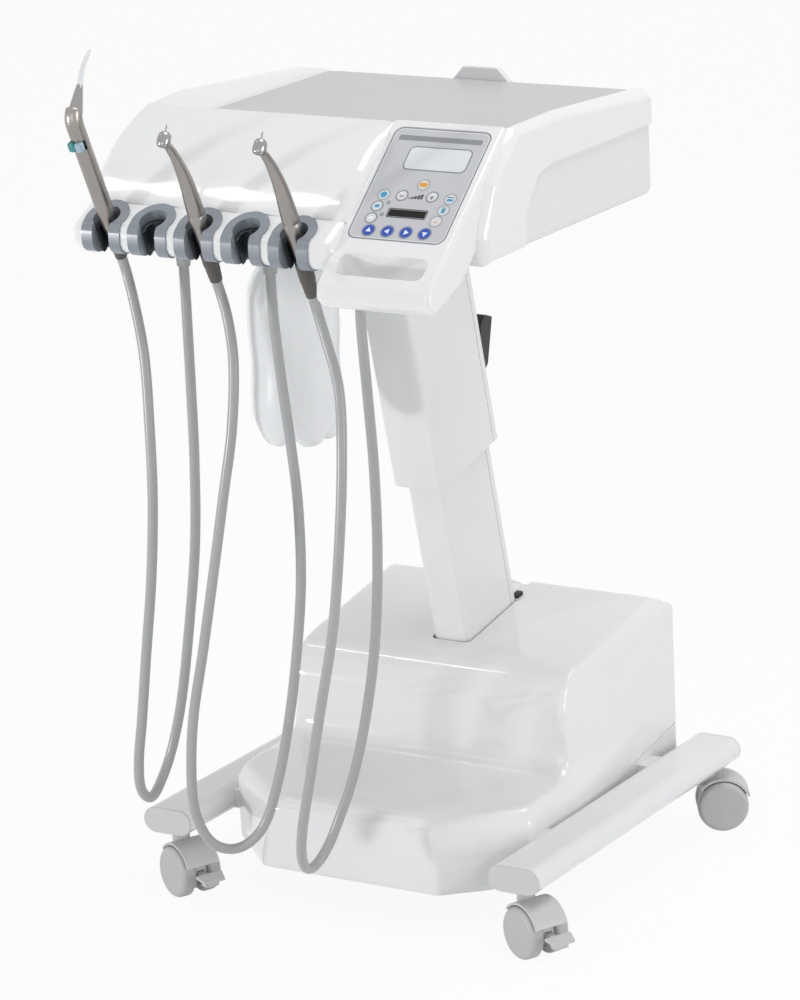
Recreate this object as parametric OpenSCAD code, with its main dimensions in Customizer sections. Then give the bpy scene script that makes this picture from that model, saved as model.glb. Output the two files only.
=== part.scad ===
// Portable dental unit: an instrument head with a sloped console on a leaning
// telescopic column, standing on a low base with two rails and four casters.
// Millimetres. The origin lies on the floor below the middle of the unit,
// +X to the unit's right, +Y to its rear, +Z up.

/* [Rails] */
// Distance between the centre lines of the two rails
rail_spread = 380; // [376:1:400]
// Length of a rail with its end caps
rail_len = 403; // [395:1:430]
// Width of the flat-oval rail section
rail_w = 53; // [50:0.5:54]
// Height of the flat-oval rail section
rail_h = 25; // [23:0.5:28]
// Wall of the rail tube
rail_wall = 1.8; // [1.2:0.1:3]
// Thickness of a rail's end cap
cap_t = 2; // [1:0.5:4]

/* [Casters] */
// Diameter of a caster wheel
wheel_d = 50; // [48:0.5:51]
// Width of one of the twin wheels
wheel_w = 14; // [12:0.5:15]
// Gap between the twin wheels of a caster
wheel_gap = 15; // [14:0.5:17]
// Distance from the swivel axis back to the wheel axle
caster_trail = 14; // [13:0.5:16]
// Diameter of the axle
axle_d = 6; // [5:0.5:7]
// Diameter of the steel stem in the rail
stem_d = 10; // [8:0.5:11]
// Diameter of the hood's neck round the stem
neck_d = 17; // [15:0.5:18]
// Outer radius of the hood over the wheels
hood_r = 28.5; // [28:0.5:30]
// Width of the hood over the wheels
hood_w = 35; // [33:0.5:38]
// Distance of a stem from the rail's end
stem_inset = 22; // [20:1:30]
// Free height under the rails
rail_clear = 62.5; // [61:0.5:66]

/* [Base cover] */
// Half width of the step's front face at its foot
step_front_half = 96; // [85:1:105]
// Distance of the step's front face ahead of the rail middle
step_front = 181; // [174:1:190]
// Height of the cover's lowest edge above the floor
step_foot_z = 36; // [32:1:40]
// Height of the step's top at its front edge
step_top_z = 106; // [102:1:110]
// Half width of the tall box
box_half = 150; // [146:1:154]
// Height of the box's top at its front edge
box_front_z = 213; // [208:1:218]
// Height of the box's top at its rear edge
box_rear_z = 238; // [232:1:244]
// Wall of the moulded covers
cover_wall = 3; // [2:0.5:4]

/* [Column] */
// Lean of the column towards the front
lean = 12.7; // [11:0.1:14]
// Width of the lower column
lower_w = 40; // [38:0.5:42]
// Depth of the lower column
lower_d = 95.6; // [92:0.2:98]
// Wall of the lower column
lower_wall = 3; // [2:0.5:4]
// Room for a glide pad on each side between the lower column and the sleeve
glide_room_side = 4.3; // [3.5:0.1:5.5]
// Room for a glide pad in front and behind, halved between the two
glide_room_depth = 6.95; // [5.2:0.05:8.7]
// Wall of the upper sleeve
sleeve_wall = 2.5; // [2:0.5:3]
// Length of lower column that shows below the sleeve
lift_show = 173; // [160:1:176]
// Diameter of the gas spring's cylinder
gas_d = 28; // [24:1:30]
// Diameter of the gas spring's rod
gas_rod_d = 10; // [8:0.5:12]

/* [Head] */
// Distance of the head's left end from the column
head_left = 180; // [178:1:186]
// Distance of the head's right side from the column
head_right = 215; // [213:1:222]
// Height of the head's underside
head_floor_z = 658; // [656:1:660]
// Height of the tray plate's top
tray_z = 756; // [754:0.5:758]
// Height of the ledge in front of the tray
ledge_z = 768; // [766:0.5:771]
// Thickness of the tray plate
tray_t = 2; // [1.5:0.5:3]
// Wall of the head's shells
shell_wall = 3; // [2:0.5:3.5]

/* [Console] */
// Slope of the console
slope = 40; // [39:0.5:41]
// Width of the control panel
panel_w = 99; // [94:1:102]
// Length of the control panel down the slope
panel_len = 124.5; // [118:0.5:126]
// Half width of the console
console_half = 58; // [57:0.5:60]
// Width of the finger gap behind the front bar
grip_gap_w = 88; // [80:1:92]
// Depth of the finger gap
grip_gap_d = 24; // [22:0.5:26]
// Diameter of a round key
key_d = 9; // [8:0.5:10]

/* [Instrument holders] */
// Distance between neighbouring holders
holder_pitch = 49.5; // [48.5:0.1:50]
// Outer diameter of a holder ring
ring_d = 43; // [42:0.2:43.6]
// Wall of a holder ring's band
ring_band = 8.6; // [8:0.1:9]
// Diameter of the liner's bore
holder_bore_d = 16.8; // [16.8:0.1:17.4]
// Length of the soft liner
liner_len = 25; // [22:1:26]
// Width of the liner's mouth that lets a hose in
mouth_w = 13; // [12:0.5:14]
// Lean of the holders towards the front
holder_lean = 21; // [20:0.5:23]

/* [Instruments] */
// Diameter of a handpiece's grip
grip_d = 16.2; // [15.6:0.1:16.4]
// Length of a handpiece from its holder to the bend
grip_len = 62; // [58:1:66]
// Angle of the neck against the grip
neck_bend = 12; // [8:1:16]
// Length of the bent neck
neck_len = 30; // [28:1:34]
// Diameter of a handpiece's turbine head
turbine_d = 12.5; // [11.5:0.5:13.5]
// Diameter of the bur's shank
bur_d = 1.6; // [1.4:0.1:2]
// Diameter of the syringe's body
syringe_d = 16; // [15.4:0.2:16.2]
// Length of the syringe's body above its holder
syringe_len = 110; // [106:1:112]
// Diameter of a hose
hose_d = 9.5; // [8.5:0.5:10]

/* [Bottle] */
// Diameter of the water bottle
bottle_d = 85; // [80:1:88]
// Height of the bottle below its cap
bottle_h = 190; // [180:5:200]

/* [Hidden] */
// Roundness of the drawn circles, and of the balls that a cover is stretched over
$fn = 48;
ball_fn = 16;
// Thickness of a slice that a cover is stretched over, and a length past any wall
slice = 0.02;
past = 400;
// Radial running clearance of a pin, and the gap between moving bodies
run_clear = 0.06;
move_clear = 0.4;

// Rails and casters
rail_z = rail_clear + rail_h / 2;
rail_x = rail_spread / 2;
rail_top = rail_clear + rail_h;
wheel_r = wheel_d / 2;
stem_y = rail_len / 2 - stem_inset;
front_turn = -26;
rear_turn = 32;
hood_gap = 1.2;
hood_core_r = 20;
neck_foot = 30;
pedal_tip = 47;
pedal_z = 27;
pedal_w = 28;
pedal_tip_w = 22;
pedal_drop = 3.5;
pedal_pin = [12, -3];
pedal_pin_d = 3;
pedal_arm_w = 7;

// Base: the cross members, the foot plate and what stands on it
member_y = [-105, 115];
member_w = 30;
member_h = 18;
foot_t = 4;
foot_z = rail_z + member_h / 2;
foot_top = foot_z + foot_t;
ballast_t = 22;
box_front = 33;
box_rear = 188;
box_r = 12;
box_draft = 5;
skirt_slope = 9.6;
skirt_y = 41;
skirt_z = 78;
skirt_half = 156;
skirt_foot = 50;
skirt_wall = 6;

// Column frame: its origin is where the column leaves the base cover
column_y = 67;
column_z = 224;
slot_depth = 40;
lower_top = lift_show + 167;
sleeve_w = lower_w + 2 * (glide_room_side + sleeve_wall);
sleeve_d = lower_d + 2 * (glide_room_depth + sleeve_wall);
lift_down = 65;
lift_up = 90;
sleeve_v = -2.8;
groove_w = 1.6;
groove_inset = 11;
pad_len = 30;
rod_foot = -20;
spigot_len = 32.884;
spigot_w = (head_floor_z - column_z) / cos(lean) - spigot_len;
gas_top = 90;
lever_pin_d = 4;
lever_w = 14;
lever_at = [77, 458];

// Console frame: its origin is the middle of the panel's lower edge
panel_at = [148, -287, 684];
nose_reach = 61;
grip_gap_y = -27.5;
board_z = -20;

// Head
ledge_y = -188;
head_rear = 71;
nose_y = -308;
nose_foot = 656;
ledge_tilt = 28;
ring_at = [-296.7, 688.3];
ring_proud = 1.2;
seam_z = 726;
seam_front = -172;
edge_r = 12;
floor_front = -256;
step_right = 76;
lower_recess = 3.3;

// Holders, instruments and outlets
ring_above = 9;
holder_y = ring_at[0] + ring_above * sin(holder_lean);
holder_z = ring_at[1] - ring_above * cos(holder_lean);
holder_first = -145.1;
holder_x = [for (i = [0 : 4]) holder_first + i * holder_pitch];
ring_strip = 20.5;
ring_mouth = 8.9;
liner_top = 1;
relief_len = 30;
coupling_foot = -22;
outlet_y = -235;
outlet_x = [-108, -15, 78];
outlet_foot = 632;
bottle_at = [-49, -150];
cap_h = 20;
cap_d = 50;
bottle_neck_r = 13.6;

// Reach of the unit to the front and to the rear, which places the origin
front_reach = 349.89;
rear_reach = stem_y + (caster_trail + hood_r) * sin(rear_turn) + hood_w / 2 * cos(rear_turn);
origin_y = (rear_reach - front_reach) / 2;

// Reach to the right and to the left, past the rails, of a front pedal and of a rear caster
right_reach = (caster_trail + pedal_tip) * cos(front_turn) - pedal_tip_w / 2 * sin(front_turn);
left_reach = (caster_trail + wheel_r) * cos(rear_turn) + (wheel_gap / 2 + wheel_w) * sin(rear_turn);
origin_x = (right_reach - left_reach) / 2;

// Hoses: points from the instrument down round the loop and up to the outlet
hose_sides = 8;
hose_paths = [
  [[-144.7, -278.93, 646.91], [-135, -279, 610], [-122, -286, 560], [-116, -293, 500], [-114, -298, 430],
   [-119, -301, 355], [-129, -303, 280], [-138, -304, 215], [-145, -303, 175], [-151, -294, 145],
   [-155, -273, 129], [-157, -251, 140], [-152, -238, 168], [-141, -234, 215], [-127, -234, 290],
   [-115, -234, 370], [-110, -234, 450], [-109, -234, 520], [-108, -235, 590], [-108, -235, 632]],
  [[-46.1, -275.18, 632.24], [-37, -275, 600], [-29, -281, 560], [-29, -290, 500], [-38, -296, 440],
   [-51, -299, 370], [-68, -300, 290], [-83, -300, 225], [-89, -300, 170], [-88, -298, 130],
   [-78, -288, 100], [-62, -271, 92], [-44, -258, 108], [-30, -252, 145], [-15, -247, 210],
   [-4, -243, 280], [3, -240, 350], [3, -238, 420], [-3, -236, 480], [-10, -235, 540],
   [-14, -235, 590], [-15, -235, 632]],
  [[52.9, -272.67, 625.7], [63, -272, 590], [80, -280, 545], [87, -292, 485], [85, -300, 410],
   [76, -304, 330], [60, -306, 255], [43, -306, 180], [30, -302, 130], [21, -290, 98],
   [17, -270, 84], [21, -251, 95], [31, -240, 125], [47, -236, 170], [63, -235, 230],
   [76, -235, 300], [83, -235, 380], [84, -235, 460], [81, -235, 530], [78, -235, 590],
   [78, -235, 632]]];

// ---------------------------------------------------------------- helpers

// Draws in the measuring frame, whose zero is the middle between the rails
module placed() {
  translate([-origin_x, -origin_y, 0]) children();
}

function unit_of(v) = v / norm(v);

// Points of one rounded corner b between a and c
function corner(a, b, c, r, n) =
  let (u = unit_of(a - b), w = unit_of(c - b), half = acos(u * w) / 2,
       mid = b + unit_of(u + w) * r / sin(half),
       p = b + u * r / tan(half) - mid, q = b + w * r / tan(half) - mid,
       from = atan2(p[1], p[0]), turn = (atan2(q[1], q[0]) - from + 540) % 360 - 180)
  [for (k = [0 : n]) mid + r * [cos(from + turn * k / n), sin(from + turn * k / n)]];

// An outline of [x, y, radius] points with its corners rounded
function rounded(pts, n = 5) =
  let (m = len(pts))
  [for (i = [0 : m - 1])
    let (a = pts[(i + m - 1) % m], b = pts[i], c = pts[(i + 1) % m])
    each b[2] > 0 ? corner([a[0], a[1]], [b[0], b[1]], [c[0], c[1]], b[2], n) : [[b[0], b[1]]]];

// A convex outline, run anticlockwise, with every side moved inwards
function inset(pts, d) =
  let (m = len(pts))
  [for (i = [0 : m - 1])
    let (u = unit_of(pts[i] - pts[(i + m - 1) % m]), w = unit_of(pts[(i + 1) % m] - pts[i]),
         p = [-u[1], u[0]], q = [-w[1], w[0]])
    pts[i] + (p + q) * d / (1 + p * q)];

// A prism over a side view: its outline in (y, z), from x0 to x1
module side_prism(outline, x0, x1) {
  translate([x0, 0, 0]) rotate([90, 0, 90]) linear_extrude(x1 - x0) polygon(outline);
}

// A body with ball-rounded edges over a side view, from x0 to x1
module soft_prism(outline, x0, x1, r) {
  hull() for (p = inset(outline, r), x = [x0 + r, x1 - r])
    translate([x, p[0], p[1]]) sphere(r, $fn = ball_fn);
}

// A rounded rectangle between two corners
module plate(x0, x1, y0, y1, r) {
  polygon(rounded([[x0, y0, r], [x1, y0, r], [x1, y1, r], [x0, y1, r]]));
}

// A flat oval, wider than high
module flat_oval(w, h) {
  square([w - h, h], center = true);
  for (side = [-1, 1]) translate([side * (w - h) / 2, 0]) circle(d = h);
}

// ------------------------------------------------------------------ rails

module rail(side) {
  color("whitesmoke") placed() difference() {
    translate([side * rail_x, rail_len / 2 - cap_t, rail_z]) rotate([90, 0, 0])
      linear_extrude(rail_len - 2 * cap_t) difference() {
        flat_oval(rail_w, rail_h);
        flat_oval(rail_w - 2 * rail_wall, rail_h - 2 * rail_wall);
      }
    for (y = [-stem_y, stem_y]) translate([side * rail_x, y, 0]) cylinder(d = stem_d, h = rail_top - rail_wall);
  }
}

// The four flat caps with their plugs
module rail_end_caps() {
  color("lightgray") placed() for (side = [-1, 1], end = [0, 1]) mirror([0, end, 0])
    translate([side * rail_x, -rail_len / 2, rail_z]) rotate([-90, 0, 0]) {
      linear_extrude(cap_t) flat_oval(rail_w, rail_h);
      linear_extrude(cap_t + 10) flat_oval(rail_w - 2 * rail_wall, rail_h - 2 * rail_wall);
    }
}

module caster_stems() {
  color("silver") placed() for (side = [-1, 1], y = [-stem_y, stem_y])
    translate([side * rail_x, y, neck_foot + 6]) cylinder(d = stem_d, h = rail_top - rail_wall - neck_foot - 6);
}

// Two box-section members between the rails, with the foot plate on them
module cross_members() {
  color("dimgray") placed() difference() {
    union() {
      for (y = member_y) translate([-rail_x, y - member_w / 2, rail_z - member_h / 2])
        cube([rail_spread, member_w, member_h]);
      translate([-135, member_y[0] - member_w / 2, foot_z])
        cube([270, member_y[1] - member_y[0] + 1.5 * member_w, foot_t]);
    }
    for (y = member_y) translate([-past, y - member_w / 2 + 3, rail_z - member_h / 2 + 3])
      cube([2 * past, member_w - 6, member_h - 6]);
    for (side = [-1, 1]) translate([side * rail_x, past, rail_z]) rotate([90, 0, 0])
      linear_extrude(2 * past) flat_oval(rail_w, rail_h);
  }
}

module ballast() {
  color("gray") placed() translate([-130, -135, rail_z - member_h / 2 - ballast_t])
    cube([260, 270, ballast_t]);
}

module power_supply() {
  color("darkgray") placed() translate([44, 10, foot_top])
    linear_extrude(62) plate(0, 84, 0, 118, 6);
}

// ------------------------------------------------------------- base cover

function step_outline(front, half, side, y0) =
  [[-half, -front, 6], [half, -front, 6], [side, y0, 6], [side, -20, 6], [box_half, 60, 4],
   [box_half, box_rear - 4, 12], [-box_half, box_rear - 4, 12], [-box_half, 60, 4],
   [-side, -20, 6], [-side, y0, 6]];

// The low step; wall is how far it is drawn inwards
module step_body(wall) {
  side = rail_x - rail_w / 2 - move_clear - wall;
  hull() {
    translate([0, 0, step_foot_z - 2 * wall]) linear_extrude(slice)
      polygon(rounded(step_outline(step_front - wall, step_front_half - wall, side, -118 + wall)));
    translate([0, 0, step_top_z - 8 - wall]) linear_extrude(slice)
      polygon(rounded(step_outline(step_front - 6 - wall, step_front_half - 10 - wall, side, -118 + wall)));
    translate([0, -step_front, step_top_z - wall]) rotate([4.5, 0, 0]) translate([0, step_front, 0])
      linear_extrude(slice)
      polygon(rounded(step_outline(step_front - 13 - wall, step_front_half - 18 - wall, side - 7, -112 + wall)));
  }
}

// The tall box with its large front roll and drafted sides
module box_body(wall) {
  top_slope = atan((box_rear_z - box_front_z) / 142);
  r = box_r - wall / 2;
  spots = [[box_half + box_draft, -box_front, step_foot_z + 50], [box_half + box_draft, box_rear, step_foot_z + 50],
           [box_half, -box_front + 6, 178], [box_half - 0.5, -box_front + 12, 195],
           [box_half - 1, -box_front + 22, 206], [box_half - 2, 6, box_front_z],
           [box_half - 2, box_rear - 34, box_rear_z]];
  hull() for (side = [-1, 1], s = spots)
    translate([side * (s[0] - wall - r), s[1] + (s[1] > 60 ? -1 : 1) * (wall + r), s[2] - wall - r])
      sphere(r, $fn = ball_fn);
}

// Everything below the cover's slanted lower edge behind the step
module under_slant(drop = 0) {
  side_prism([[skirt_y - 62, skirt_z - 62 * tan(skirt_slope) - drop],
              [skirt_y - 62, -past], [past, -past],
              [past, skirt_z + (past - skirt_y) * tan(skirt_slope) - drop]], -past, past);
}

module base_cover() {
  color("white") placed() difference() {
    union() {
      step_body(0);
      box_body(0);
    }
    step_body(cover_wall);
    box_body(cover_wall);
    under_slant();
    in_column() translate([0, 0, -slot_depth]) linear_extrude(past)
      column_outline(lower_w + 3, lower_d + 3);
    translate([-lower_w / 2 + 5, column_y, column_z - slot_depth]) cube([lower_w - 10, past, 60]);
    translate([-past, member_y[0] - member_w / 2, rail_z - member_h / 2 - past])
      cube([2 * past, member_w, member_h + past]);
  }
}

// The lower rear skirt below the cover's slanted edge
module rear_skirt() {
  color("whitesmoke") placed() difference() {
    intersection() {
      translate([0, 0, skirt_foot]) linear_extrude(past) difference() {
        plate(-skirt_half, skirt_half, -20, box_rear + 4, 14);
        plate(-skirt_half + skirt_wall, skirt_half - skirt_wall, -20 - past, box_rear + 4 - skirt_wall, 8);
      }
      under_slant(move_clear);
    }
    translate([-past, member_y[1] - member_w / 2, rail_z - member_h / 2 - past])
      cube([2 * past, member_w, member_h + past]);
  }
}

// ----------------------------------------------------------------- column

module in_column() {
  translate([0, column_y, column_z]) rotate([lean, 0, 0]) children();
}

module column_outline(w, d) {
  polygon(rounded([[-w / 2, -d / 2 + 1.5, 7], [-w / 4, -d / 2, 0], [w / 4, -d / 2, 0],
                   [w / 2, -d / 2 + 1.5, 7], [w / 2, d / 2, 4], [-w / 2, d / 2, 4]]));
}

// The groove along both sides near a tube's rear
module side_grooves(w, d, from, length) {
  for (side = [-1, 1]) translate([side * w / 2 - 0.8, d / 2 - groove_inset, from])
    cube([1.6, groove_w, length]);
}

module lower_column() {
  color("white") placed() difference() {
    in_column() difference() {
      translate([0, 0, -160]) linear_extrude(lower_top + 160) column_outline(lower_w, lower_d);
      translate([0, 0, -170]) linear_extrude(past + 300)
        column_outline(lower_w - 2 * lower_wall, lower_d - 2 * lower_wall);
      side_grooves(lower_w, lower_d, -160, lower_top + 170);
    }
    translate([-past, -past, foot_top - past]) cube([2 * past, 2 * past, past]);
  }
}

// Plastic pads round the lower column's head, which guide the sleeve
module column_glides() {
  side_t = (sleeve_w - 2 * sleeve_wall - lower_w) / 2 - 0.3;
  front_t = sleeve_d / 2 - sleeve_v - sleeve_wall - lower_d / 2 - 0.3;
  rear_t = sleeve_d / 2 + sleeve_v - sleeve_wall - lower_d / 2 - 0.3;
  color("gainsboro") placed() in_column() translate([0, 0, lower_top - pad_len - 5]) {
    for (side = [-1, 1]) translate([side * (lower_w / 2 + side_t / 2), -8, pad_len / 2])
      cube([side_t, 50, pad_len], center = true);
    translate([-8, -lower_d / 2 - front_t, 0]) cube([16, front_t, pad_len]);
    translate([-10, lower_d / 2, 0]) cube([20, rear_t, pad_len]);
  }
}

// The gas spring's cylinder stands on the foot plate
module gas_cylinder() {
  color("black") placed() difference() {
    in_column() difference() {
      translate([0, 0, -160]) cylinder(d = gas_d, h = gas_top + 160);
      translate([0, 0, rod_foot - lift_down - 18]) cylinder(d = gas_d - 4, h = gas_top - rod_foot + lift_down + 12);
      cylinder(d = gas_rod_d + 2 * run_clear, h = past);
    }
    translate([-past, -past, foot_top - past]) cube([2 * past, 2 * past, past]);
  }
}

module gas_rod() {
  color("silver") placed() in_column() {
    translate([0, 0, rod_foot]) cylinder(d = gas_rod_d, h = spigot_w - rod_foot);
    translate([0, 0, rod_foot - 12]) cylinder(d = gas_d - 4 - 2 * run_clear, h = 12);
  }
}

module below_head(drop = 0) {
  translate([-past, -past, -past]) cube([2 * past, 2 * past, past + head_floor_z - drop]);
}

module upper_sleeve() {
  color("white") placed() {
    difference() {
      intersection() {
        in_column() translate([0, sleeve_v, lift_show]) difference() {
          linear_extrude(past) column_outline(sleeve_w, sleeve_d);
          translate([0, 0, -1]) linear_extrude(past + 2)
            column_outline(sleeve_w - 2 * sleeve_wall, sleeve_d - 2 * sleeve_wall);
          side_grooves(sleeve_w, sleeve_d, -1, past + 2);
        }
        below_head();
      }
    }
    difference() {
      for (side = [-1, 1]) translate([side * (lever_w / 2 + 2.4), lever_at[0], lever_at[1]])
        rotate([0, 90, 0]) hull() {
          cylinder(d = 10, h = 3.6, center = true, $fn = 32);
          translate([6, -10, 0]) cylinder(d = 5, h = 3.6, center = true, $fn = 32);
          translate([-10, -12, 0]) cylinder(d = 5, h = 3.6, center = true, $fn = 32);
        }
      in_column() translate([0, sleeve_v, 0]) linear_extrude(past)
        column_outline(sleeve_w, sleeve_d);
    }
    translate([-lever_w / 2 - 4.2, lever_at[0], lever_at[1]]) rotate([0, 90, 0])
      cylinder(d = lever_pin_d, h = lever_w + 8.4);
  }
}

// The black lever that frees the gas spring
module release_lever() {
  y = lever_at[0];
  z = lever_at[1];
  color("black") placed() difference() {
    side_prism(rounded([[y + 1, z - 6, 3], [y + 13, z + 4, 4], [y + 24, z + 13, 8], [y + 35, z + 57, 2],
                        [y + 21, z + 62, 2], [y + 13, z + 52, 2], [y + 10, z + 22, 8], [y - 5, z + 6, 4]]),
               -lever_w / 2, lever_w / 2);
    translate([-past, y, z]) rotate([0, 90, 0]) cylinder(d = lever_pin_d + 2 * run_clear, h = 2 * past);
  }
}

// Steel spigot in the sleeve's head and the plate that the head is screwed to
module head_bracket() {
  top = head_floor_z + shell_wall;
  color("dimgray") placed() {
    intersection() {
      in_column() translate([-23, -50, spigot_w]) cube([46, 92, 200]);
      translate([-past, -past, 0]) cube([2 * past, 2 * past, top]);
    }
    translate([-55, -105, top]) linear_extrude(4) plate(0, 110, 0, 130, 8);
  }
}

// ------------------------------------------------------------------- head

ledge_foot = -279;
left_outline = [[ledge_foot, 658], [head_rear, 658], [head_rear, 757], [-130, 770.5], [-183, 767.5],
                [-197, 762.5], [-212, 756.3], [-227, 748.5], [-243, 737.2], [-257, 724], [ledge_foot, 700]];

// Height of the ledge, or of the rings' rims on it, at a place in front of the slope
function ledge_at(y, proud = 0) = ring_at[1] + (y - ring_at[0]) * tan(ledge_tilt) + (proud - ring_proud) / cos(ledge_tilt);

nose_outline = [[nose_y, nose_foot], [-262, nose_foot], [-262, ledge_at(-262)], [nose_y, ledge_at(nose_y)]];
rim_outline = [[nose_y - ring_proud, nose_foot - ring_proud, edge_r], [-254, nose_foot - ring_proud, 0],
               [-254, ledge_at(-254, ring_proud), 0], [nose_y - ring_proud, ledge_at(nose_y - ring_proud, ring_proud), edge_r]];
right_outline = [[-244, 655], [head_rear, 658], [head_rear, 757], [-110, ledge_z + 1.5],
                 [ledge_y + 6, ledge_z], [-226, 729], [-247, 684]];
console_outline = [[-9, -39], [134, -39], [134, 1], [-50, 1], [-nose_reach, -9], [-nose_reach + 1, -22]];

module in_console() {
  translate(panel_at) rotate([slope, 0, 0]) children();
}

module in_holder(x) {
  translate([x, holder_y, holder_z]) rotate([holder_lean, 0, 0]) children();
}

// Below and behind the seam, where the lower shell shows
module seam_region() {
  side_prism([[-182, 600], [past, 600], [past, seam_z], [-122, seam_z], [-150, seam_z - 6],
              [seam_front, seam_z - 34]], -past, past);
}

module console_body() {
  in_console() hull() for (p = inset(console_outline, 6), side = [-1, 1])
    translate([side * (console_half - 6), p[0], p[1]]) sphere(6, $fn = ball_fn);
}

module upper_cover() {
  top = tray_z - tray_t - shell_wall;
  color("white") placed() difference() {
    union() {
      soft_prism(left_outline, -head_left, step_right + 20, edge_r);
      soft_prism(nose_outline, -head_left, step_right + 20, edge_r);
      soft_prism(right_outline, step_right - 10, head_right, edge_r);
      console_body();
    }
    seam_region();
    // the hollow behind the nose and under the tray
    side_prism([[floor_front + 4, 600], [head_rear - shell_wall, 600], [head_rear - shell_wall, top],
                [ledge_y + 6, top], [floor_front + 4, 714]], -head_left + shell_wall, step_right + 12);
    side_prism([[-232, 600], [head_rear - shell_wall, 600], [head_rear - shell_wall, top],
                [ledge_y + 8, top], [-232, 700]], step_right + 11, head_right - shell_wall);
    // the tray's recess, with scooped ends
    hull() {
      translate([0, 0, tray_z - tray_t]) linear_extrude(slice) plate(-132, 197, ledge_y + 5, head_rear + 20, 6);
      translate([0, 0, ledge_z + 14]) linear_extrude(slice) plate(-176, 214, ledge_y + 2, head_rear + 20, 6);
    }
    in_console() {
      translate([-panel_w / 2, 0, -1]) linear_extrude(past) plate(0, panel_w, 0, panel_len, 9);
      translate([-grip_gap_w / 2, grip_gap_y - grip_gap_d / 2, -past]) linear_extrude(2 * past)
        plate(0, grip_gap_w, 0, grip_gap_d, 8);
      translate([-panel_w / 2 + 1, 3, board_z - 14]) cube([panel_w - 2, panel_len - 2, 10 - board_z]);
    }
    for (x = holder_x) in_holder(x) translate([0, 0, -past]) linear_extrude(2 * past) ring_plan();
    translate([4.5, 61.5, 750]) cube([61, 7.5, 40]);
  }
}

module lower_shell() {
  front = floor_front + 4.5;
  back = head_rear - 2;
  outline = [[front, head_floor_z], [back, head_floor_z], [back, 800], [front, 800]];
  inner = [[front + 3, head_floor_z + shell_wall], [back - shell_wall, head_floor_z + shell_wall],
           [back - shell_wall, 800], [front + 3, 800]];
  left = -head_left + lower_recess;
  right = head_right - lower_recess;
  color("whitesmoke") placed() difference() {
    intersection() {
      soft_prism(outline, left, right, 10);
      union() {
        seam_region();
        translate([-past, -past, 0]) cube([2 * past, 2 * past, head_floor_z + shell_wall]);
      }
    }
    side_prism(rounded([for (p = inner) [p[0], p[1], 3]], 3), left + shell_wall, right - shell_wall);
    translate([step_right - 14, -past, 600]) cube([past, past + floor_front + 26, 200]);
    in_column() translate([-23, -50, spigot_w]) cube([46, 92, 200]);
    for (x = outlet_x) translate([x, outlet_y, 0]) cylinder(d = 12.2, h = past * 2);
  }
}

module tray_plate() {
  color("lightgray") placed() translate([0, 0, tray_z - tray_t]) linear_extrude(tray_t)
    plate(-130, 195, ledge_y + 7, 60, 5);
}

module rear_handle() {
  color("white") placed() translate([4.5, 69, 750]) rotate([90, 0, 0]) linear_extrude(7.5)
    polygon(rounded([[0, 0, 0], [61, 0, 0], [61, 5, 2], [49, 18, 4], [12, 18, 4], [0, 5, 2]]));
}

// Grey membrane sheet in the console's recess
module control_panel() {
  color("silver") placed() in_console() translate([0, 0, -1]) difference() {
    linear_extrude(1.4) translate([-panel_w / 2, 0]) plate(0, panel_w, 0, panel_len, 9);
    translate([0, 0, 0.8]) linear_extrude(2) {
      display_outlines();
      key_outlines();
    }
  }
}

module display_outlines() {
  translate([-25, 79]) plate(0, 62, 0, 24, 5);
  translate([-18, 27]) square([37, 7.5]);
}

// The window and the dark number display
module panel_display() {
  color("black") placed() in_console() translate([0, 0, -0.2]) linear_extrude(0.6) display_outlines();
}

key_spots = [[4, 63], [-31, 49.5], [-12.5, 50], [18, 50], [36, 49.5], [-32, 36.5], [-32.5, 23.5],
             [34, 37], [32, 24.5], [-29.5, 10.5], [-11, 10.5], [8, 10.5], [26.5, 10.5]];

module key_outlines() {
  for (p = key_spots) translate(p) circle(d = key_d, $fn = 24);
}

module panel_keys() {
  color("royalblue") placed() in_console() translate([0, 0, -0.2]) linear_extrude(0.9) key_outlines();
}

// The circuit board under the panel, on four posts
module control_board() {
  color("seagreen") placed() in_console() translate([0, 0, board_z]) {
    translate([-44, 8, 0]) cube([88, 108, 1.6]);
    for (x = [-38, 38], y = [14, 110]) translate([x, y, 1.6]) cylinder(d = 6, h = -5.6 - board_z);
    translate([-20, 50, -3]) cube([14, 14, 3]);
    translate([8, 40, -6]) cube([22, 12, 6]);
  }
}

// ---------------------------------------------------------------- holders

// What a ring takes out of the nose: round behind, straight to the front
module ring_plan() {
  circle(d = ring_d);
  translate([-ring_strip, -past]) square([2 * ring_strip, past]);
}

// A ring that lines its notch in the nose, a little proud of it
module holder_ring(x) {
  color("slategray") placed() intersection() {
    in_holder(x) translate([0, 0, -60]) linear_extrude(100) difference() {
      ring_plan();
      circle(d = ring_d - 2 * ring_band);
      translate([-ring_mouth, -past]) square([2 * ring_mouth, past]);
    }
    side_prism(rounded(rim_outline), x - ring_d, x + ring_d);
  }
}

// The five soft dark liners, with mouths for the hoses
module holder_liners() {
  color("darkslategray") placed() for (x = holder_x) in_holder(x)
    translate([0, 0, liner_top - liner_len]) linear_extrude(liner_len) difference() {
      circle(d = ring_d - 2 * ring_band);
      circle(d = holder_bore_d);
      translate([-mouth_w / 2, -past]) square([mouth_w, past]);
    }
}

module hose_outlets() {
  color("gray") placed() for (x = outlet_x) translate([x, outlet_y, outlet_foot]) {
    cylinder(d1 = hose_d + 3, d2 = 16, h = head_floor_z - outlet_foot);
    cylinder(d = 12, h = head_floor_z - outlet_foot + shell_wall + 6);
  }
}

module valve_block() {
  color("gray") placed() translate([-150, -90, head_floor_z + shell_wall]) {
    cube([80, 50, 34]);
    for (x = [12, 31, 50, 69]) translate([x, 25, 34]) cylinder(d = 12, h = 16);
  }
}

// ----------------------------------------------------------------- bottle

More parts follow.
